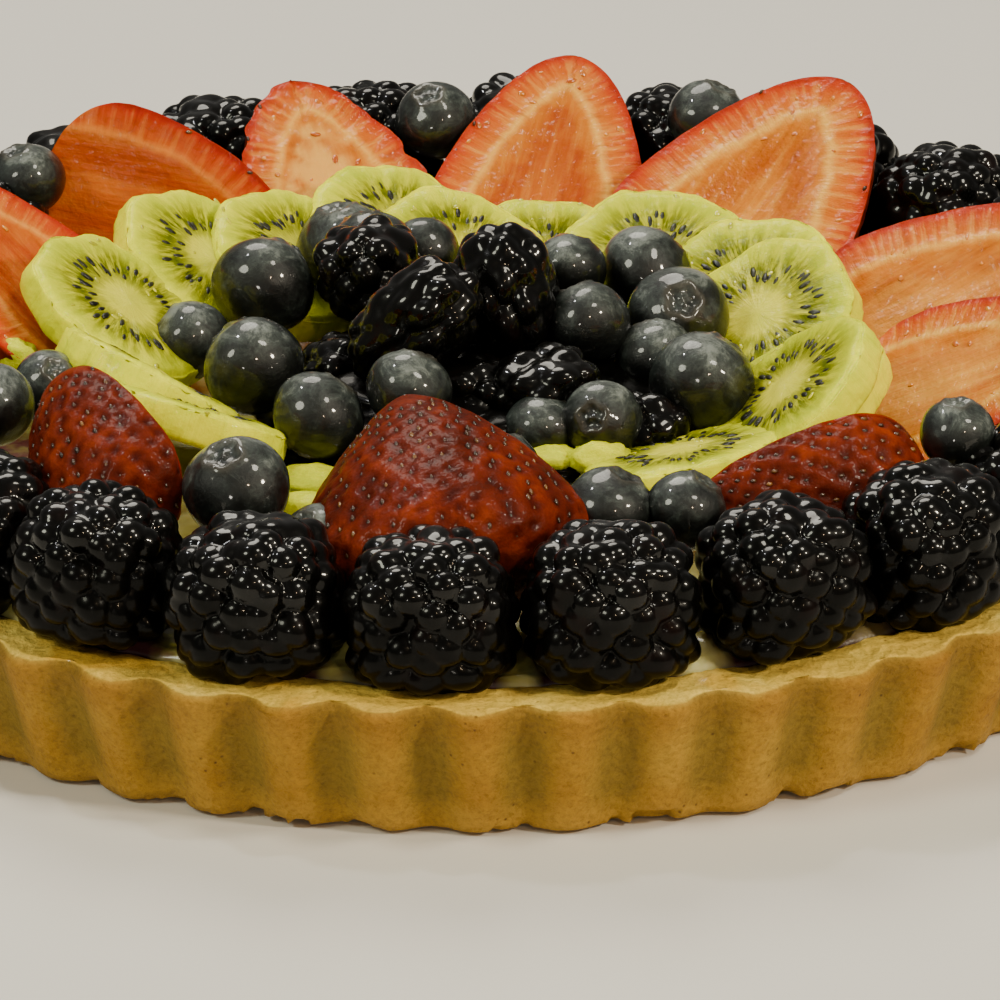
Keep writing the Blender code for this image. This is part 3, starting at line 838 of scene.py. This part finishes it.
def kiwi_axes(azimuth, lean, tilt):
    """The slice's own axes as rows: outward, around and out of its upper face."""
    outward = radial(azimuth)
    around = Vector((0, 0, 1)).cross(outward)
    lift = Matrix.Rotation(math.radians(-lean), 3, around)
    turn = Matrix.Rotation(math.radians(tilt), 3, lift @ outward)
    return np.array([turn @ lift @ outward, turn @ around, turn @ lift @ Vector((0, 0, 1))])


def build_kiwi(name, nodes, rounder, middle, lean, tilt, radius):
    mesh = disc.copy()
    axes = kiwi_axes(middle[0], lean, tilt)
    centre = np.array(spot(*middle))
    seed = len(kiwi_seed_places) % 97
    share = np.hypot(disc_points[:, 0], disc_points[:, 1])
    angle = np.arctan2(disc_points[:, 1], disc_points[:, 0])
    # the flats that the peeling knife left round the fruit
    flats = np.linspace(0, 2 * math.pi, KIWI_FLATS, endpoint=False)
    flats += np.array([kiwi_rng.uniform(-0.2, 0.2) for _ in flats])
    away = np.array([kiwi_rng.uniform(0.9, 0.97) for _ in flats])
    if rounder:
        away = 1 - (1 - away) * 0.3
    facing = np.clip(np.cos(angle[:, None] - flats), 1e-4, 1) / away
    outline = np.minimum((facing**FLAT_SHARPNESS).sum(axis=1) ** (-1 / FLAT_SHARPNESS), 1.0)
    local = disc_points * (radius, radius, KIWI_THICKNESS)
    local[:, :2] *= outline[:, None]
    upper = disc_points[:, 2] > 0.4
    direction = np.column_stack([np.cos(angle), np.sin(angle), np.zeros(len(angle))])
    # the soft side, uneven and a little pulled in
    worn = 0.5 * noise_at(local, 4.5, seed + 2) + 0.25 * noise_at(local, 1.6, seed + 3, 1) - 0.3
    local += direction * (worn * smooth_step(share, 0.88, 1))[:, None]
    rays = noise_at(direction * 6 + share[:, None] * (0, 0, 1.1), 1, seed)
    dome = 0.25 * np.cos(np.clip(share / 0.26, 0, 1) * math.pi) - 0.45 * smooth_step(share, 0.86, 1)
    flesh = smooth_step(share, 0.2, 0.4) * (1 - smooth_step(share, 0.93, 1))
    local[:, 2] += upper * (0.38 * rays * flesh + dome)
    local[:, 2] += upper * 0.3 * noise_at(local, 5.5, seed + 1)
    points = local @ axes + centre
    points[:, 2] = np.maximum(points[:, 2], CUT_LEVEL)
    give_attribute(mesh, "share", share)
    give_attribute(mesh, "slice", direction + np.outer(share * 0.35 + seed, (0, 0, 1)))
    add_piece(name, mesh, points, kiwi_finish, nodes)
    top = np.where(upper)[0]
    for index in range(SEEDS_PER_SLICE):
        turn = (index + kiwi_rng.uniform(-0.4, 0.4)) / SEEDS_PER_SLICE * 2 * math.pi
        away = kiwi_rng.choice(SEED_RINGS) + kiwi_rng.uniform(-0.03, 0.03)
        pointing = np.array([math.cos(turn), math.sin(turn), 0])
        turned_axes = np.array([pointing, (-math.sin(turn), math.cos(turn), 0), (0, 0, 1)])
        size = kiwi_rng.uniform(0.75, 1.15)
        seed_middle = pointing * away * radius
        nearest = np.hypot(*(local[top, :2] - seed_middle[:2]).T).argmin()
        seed_middle[2] = local[top[nearest], 2] - kiwi_rng.uniform(0.0, 0.16)
        place = seed_middle @ axes + centre
        if place[2] > CREAM_LEVEL:
            shape = turned_axes * np.array(KIWI_SEED)[:, None] * size @ axes
            kiwi_seed_places.append((shape, place))
    wet = [i for i in top if share[i] > 0.2 and points[i, 2] > CREAM_LEVEL + 3]
    for index in kiwi_rng.sample(wet, BEADS_PER_SLICE):
        kiwi_bead_places.append((points[index], axes))


for number, laid in enumerate(KIWIS, 1):
    build_kiwi(f"kiwi_{number:02d}_slice", [f"kiwi_{number:02d}"], number in ROUNDER, *laid)
# one more slice shows between two others at the back
build_kiwi("kiwi_back_slice", [], False, (168, 52, 32), 27, 10, 17)
# scraps of kiwi pulp pushed in between the fruit: place as for a slice, half sizes
PULP = [
    ((30, 39, 30.5), (5.6, 3.4, 3.2)),
    ((19, 34, 30.5), (4.4, 2.6, 2.2)),
    ((38, 46, 29.5), (6, 3.2, 2.4)),
    ((-40, 45, 27), (7, 5, 3.2)),
    ((-31, 53, 27), (5.5, 4.5, 3)),
    ((-92, 78, 36), (3.4, 3, 3)),
]


def build_pulp():
    for number, (place, size) in enumerate(PULP):
        mesh = round_ball(f"kiwi_scrap_{number}", 32, 22)
        round_points = points_of(mesh) * MM
        lumpy = 1 + 0.28 * noise_at(round_points, 0.9, number)
        lumpy += 0.1 * noise_at(round_points, 0.3, number)
        points = round_points * lumpy[:, None] * size + np.array(spot(*place))
        # the share rises towards the top, so each scrap is painted lighter on top with the rim's painted
        # light, and darker below
        give_attribute(mesh, "share", 0.84 + 0.12 * round_points[:, 2])
        give_attribute(mesh, "slice", round_points * 0.8 + number)
        add_piece(f"kiwi_scrap_{number}", mesh, points, kiwi_finish)


build_pulp()
joined_copies("kiwi_seeds", round_ball("kiwi_seed", 6, 5), kiwi_seed_places, kiwi_seed_coat())

# --- The beads of glaze ---
# Fruit glaze that stayed as small beads and short runs where it was brushed over the cut fruit.


def glaze_on(name, dark, light):
    """Set fruit glaze: a very smooth bead that takes the colour of the fruit it lies on."""
    gloss = {"Roughness": 0.08, "IOR": 1.4, "Coat_Weight": 1, "Coat_Roughness": 0.02, "Coat_IOR": 1.6}
    return drifting(name, 0.01, 1, (0.35, dark), (0.65, light), **gloss)


def build_beads(name, spots, material):
    bead_rng = random.Random(3)
    places = []
    for middle, axes in spots:
        turn = bead_rng.uniform(0, math.pi)
        long = axes[0] * math.cos(turn) + axes[1] * math.sin(turn)
        short = np.cross(axes[2], long)
        size = bead_rng.uniform(0.25, 0.6)
        shape = np.array([long * bead_rng.uniform(1, 2.2), short, axes[2] * 0.45]) * size
        places.append((shape, middle))
    joined_copies(name, round_ball("bead", 8, 6), places, material)


berry_glaze = glaze_on("strawberry_glaze", "#B85408", "#D88420")
build_beads("strawberry_glaze", bead_places, berry_glaze)
build_beads("kiwi_glaze", kiwi_bead_places, glaze_on("kiwi_glaze", "#A8A818", "#D2D030"))

# --- The blueberries ---
# Single blueberries tucked between the strawberries. Dark blue skin with a grey wax bloom that the
# glaze has dulled, and a five-pointed crown round a shallow cup.


def glazed_blueberry_skin():
    """Waxy blue-black skin, its bloom rubbed and dulled in patches, painted paler on top as painted light,
    under a thin clear glaze.
    """
    material, tree, place = new_material(
        "glazed_blueberry", IOR=1.36, Coat_Weight=0.8, Coat_Roughness=0.07, Coat_IOR=1.4
    )
    bloom = clouds(place, 0.011, 9, 0.74, Distortion=0.3)
    rubbed = clouds(place, 0.0042, 8, 0.75, Distortion=0.7)
    # painted light: the skin is paler towards the top, where the light falls
    pale = reckoned("MULTIPLY_ADD", stored(tree, "upper"), 0.32, bloom)
    pale = stretched(reckoned("MULTIPLY_ADD", rubbed, 0.75, pale), 0.6, 1.4)
    skin = ramp(pale, (0.34, "#060807"), (0.5, "#151A18"), (0.66, "#363D3A"), (0.84, "#747B76"))
    colour = blend(stored(tree, "crown"), skin, "#3C362A")
    rough = stretched(bloom, 0.3, 0.7, 0.3, 0.6)
    pores = relief(rubbed, 0.45, 0.0005)
    # the glaze has smoothed the skin over, but for slow waves
    waves = relief(clouds(place, 0.0045, 1), 0.35, 0.0006)
    plug(tree, Base_Color=colour, Roughness=rough, Normal=pores, Coat_Normal=waves)
    return material


blueberry_finish = glazed_blueberry_skin()
blueberry_rng = random.Random(13)
# how far the crown is from its middle, as an angle, and how tall a berry is for a width of 1
CROWN_ANGLE = 0.36
BERRY_HEIGHT = 0.92


def build_blueberry(name, middle, radius, crown, nodes=()):
    """One berry whose crown points along this direction."""
    mesh = round_ball(name, 40, 30)
    directions = points_of(mesh) * MM
    polar = np.arccos(np.clip(directions[:, 2], -1, 1))
    # more rings near the crown
    polar = math.pi * (0.45 * (polar / math.pi) ** 2 + 0.55 * polar / math.pi)
    around = np.arctan2(directions[:, 1], directions[:, 0])
    five = 0.5 + 0.5 * np.cos(5 * around + blueberry_rng.uniform(0, 6))
    edge = CROWN_ANGLE * (0.9 + 0.2 * five)
    ring = np.exp(-(((polar - edge) / 0.075) ** 2))
    cup = 1 - smooth_step(polar, edge - 0.16, edge + 0.02)
    dimple = np.exp(-((polar / 0.09) ** 2))
    uneven = 0.02 * np.sin(2 * around + polar * 3 + blueberry_rng.uniform(0, 6))
    reach = radius * (1 + 0.055 * ring * (0.55 + 0.45 * five) - 0.1 * cup + 0.04 * dimple + uneven)
    wide = np.sin(polar)
    tall = np.cos(polar) * BERRY_HEIGHT
    shape = np.column_stack([wide * np.cos(around), wide * np.sin(around), tall])
    turn = np.array(Vector(crown).to_track_quat("Z", "Y").to_matrix())
    points = (shape * reach[:, None]) @ turn.T + np.array(middle)
    give_attribute(mesh, "crown", np.clip(ring * 0.7 + dimple * 0.3, 0, 1))
    # how high on the berry a point is, for the painted light on its top
    give_attribute(mesh, "upper", np.clip((points - middle)[:, 2] / radius, 0, 1))
    add_piece(name, mesh, points, blueberry_finish, nodes)


for node_name in nodes_named("blueberry_"):
    node_low, node_high = np.array(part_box(node_name)) / MM
    berry_radius = max(node_high - node_low) / 2
    # counted from its top, as its foot is cut
    berry_middle = (node_low + node_high) / 2
    berry_middle[2] = node_high[2] - berry_radius * 0.97
    facing = (blueberry_rng.uniform(-0.7, 0.7), blueberry_rng.uniform(-0.9, 0.3), 1)
    fruit_name = node_name + "_fruit"
    build_blueberry(fruit_name, berry_middle, berry_radius, facing, [node_name])

# --- The heap in the middle ---
# Brambles and blueberries tipped in the middle and glazed. The real berries lie over a smaller core
# of the same berries pressed together.

# ((azimuth, radius, height), half sizes, direction of the long axis)
HEAP_BRAMBLES = [
    ((-52, 14, 45.5), (8.8, 9.2, 13.5), (0.67, -0.2, 0.74)),
    ((100, 4, 47.9), (8.8, 9.2, 12), (-0.15, 0.2, 1)),
    ((-142, 31, 43), (9.5, 9, 9), (-0.3, 0.2, 0.9)),
    ((32, 20, 36), (9, 8, 10), (0.9, 0.1, 0.2)),
    ((-92, 24, 33.5), (7.5, 7, 7), (0.6, 0.1, 0.8)),
    ((50, 36, 31), (8, 7.5, 7.5), (0.2, 0.6, 0.8)),
    ((178, 24, 41), (7, 7, 7), (0.2, 0.6, 0.8)),
    ((-5, 13, 33.5), (8.5, 8, 8.5), (0.3, -0.5, 0.8)),
]
# ((azimuth, radius, height), radius, direction of the crown)
HEAP_BLUEBERRIES = [
    ((-150, 38, 43), 7.8, (-0.2, 0.3, 1)),
    ((-152, 50, 39.5), 8.8, (-0.2, 0.1, 1)),
    ((-124, 45, 40), 8.9, (0.3, 0.5, 0.6)),
    ((-104, 51, 35), 7.0, (-0.7, 0.2, 0.6)),
    ((-80, 39, 37.5), 8.6, (-0.5, 0.6, 0.6)),
    ((-46, 38, 36), 7.8, (0.6, 0.3, 0.8)),
    ((-26, 28, 40), 7.2, (0.3, 0.3, 0.9)),
    ((-165, 38, 41.5), 6.3, (0.3, 0.8, 0.5)),
    ((131, 37, 42), 8.2, (0.6, 0.2, 0.6)),
    ((104, 34, 40), 8.6, (0.1, -0.75, 0.65)),
    ((90, 17.5, 42), 7.4, (-0.3, 0.4, 0.8)),
    ((140, 23, 45), 6.5, (0.2, 0.5, 0.8)),
    ((88, 29, 36), 7, (-0.3, 0.5, 0.8)),
    ((65, 40, 37.5), 9, (0.5, 0.5, 0.6)),
    ((36, 33, 34.5), 6.9, (-0.25, -0.8, 0.45)),
    ((21, 27, 32.5), 6.6, (0.3, 0.4, 0.8)),
    ((-12, 54, 33), 8.5, (0.2, 0.2, 1)),
    ((2, 46, 33), 8, (0.2, 0.4, 1)),
]
# the first so many brambles lie on top, under more glaze
THICKLY_GLAZED = 2
# half sizes of the core, and of the ball of drupelets that it is made from
CORE_SIZE = (40, 40, 14)
CORE_BALL = 26


def build_heap():
    for number, (place, size, axis) in enumerate(HEAP_BRAMBLES, 1):
        turn = Vector(axis).to_track_quat("Z", "Y").to_matrix()
        glaze_from = -0.25 if number <= THICKLY_GLAZED else 0.3
        build_bramble(f"heap_bramble_{number:02d}", spot(*place), size, turn, glaze_from)
    for number, (place, size, axis) in enumerate(HEAP_BLUEBERRIES, len(HEAP_BRAMBLES) + 1):
        middle = np.array(spot(*place))
        build_blueberry(f"heap_blueberry_{number:02d}", middle, size, axis)
    mesh = ball.copy()
    no_glaze = np.zeros(len(ball_directions))
    lumps = drupelet_radii(ball_directions, CORE_BALL, berry_rng, no_glaze) / CORE_BALL
    # a dome, nearly flat below
    shape = ball_directions * CORE_SIZE
    shape[:, 2] = np.where(shape[:, 2] > 0, shape[:, 2], ball_directions[:, 2])
    points = shape * lumps[:, None] + (0, 0, CREAM_LEVEL)
    give_attribute(mesh, "glaze", no_glaze)
    add_piece("heap_core", mesh, points, bramble_finish, ["berry_heap"])


build_heap()

# --- The setting ---
# A plain pale floor, soft studio light from above and from both sides, and the camera at the front.

# place in metres, size, power in watts and colour of each lamp; all are aimed at the tart
LAMPS = {
    "overhead": ((-0.15, 0.65, 0.95), 0.55, 7, (1, 0.94, 0.82)),
    "high_front": ((0.5, -0.35, 1.15), 0.3, 6, (1, 0.93, 0.76)),
    "right_key": ((1.05, -0.75, 0.85), 0.16, 14, (1, 0.88, 0.68)),
    "left_fill": ((-1.0, -0.6, 0.95), 0.45, 9.5, (0.97, 0.97, 0.78)),
    "low_front": ((-0.3, -1.3, 0.3), 0.12, 1.5, (1, 0.93, 0.8)),
    "warm_lamp": ((0.35, -1.05, 0.7), 0.04, 1.6, (1, 0.72, 0.44)),
    "small_window": ((-0.5, 0.2, 1.0), 0.07, 2, (1, 1, 1)),
}
AIM_HEIGHT = 0.03
# just below the tart's foot
FLOOR_LEVEL = -0.0005
CAMERA_DISTANCE = 1.394
CAMERA_ELEVATION = math.radians(22.2)
CAMERA_ROLL = math.radians(-0.62)


def build_setting():
    bm = bmesh.new()
    bmesh.ops.create_grid(bm, x_segments=1, y_segments=1, size=6)
    mesh = bpy.data.meshes.new("floor")
    bm.to_mesh(mesh)
    bm.free()
    tones = ((0.3, "#D9D6CF"), (0.7, "#DDDAD3"))
    mesh.materials.append(drifting("pale_floor", 1 / 3, 2, *tones, Roughness=0.6))
    floor = new_object("floor", mesh)
    floor.location.z = FLOOR_LEVEL

    world = bpy.data.worlds.new("studio")
    world.use_nodes = True
    background = world.node_tree.nodes["Background"]
    background.inputs["Color"].default_value = (1, 0.96, 0.88, 1)
    background.inputs["Strength"].default_value = 0.15
    bpy.context.scene.world = world

    for name, (place, size, power, colour) in LAMPS.items():
        light = bpy.data.lights.new(name, "AREA")
        light.shape, light.size, light.energy, light.color = "DISK", size, power, colour
        aim = (Vector((0, 0, AIM_HEIGHT)) - Vector(place)).to_track_quat("-Z", "Y")
        new_object(name, light).matrix_world = Matrix.Translation(place) @ aim.to_matrix().to_4x4()

    camera_data = bpy.data.cameras.new("camera")
    camera_data.sensor_width = 36
    camera_data.lens = 295.9
    camera_data.shift_x = 0.015
    camera_data.shift_y = 0.056
    camera = new_object("camera", camera_data)
    backward = Vector((0, -math.cos(CAMERA_ELEVATION), math.sin(CAMERA_ELEVATION)))
    right = Vector((1, 0, 0))
    axes = Matrix((right, backward.cross(right), backward)).transposed().to_4x4()
    place = Matrix.Translation(backward * CAMERA_DISTANCE)
    camera.matrix_world = place @ axes @ Matrix.Rotation(CAMERA_ROLL, 4, "Z")
    bpy.context.scene.camera = camera


build_setting()
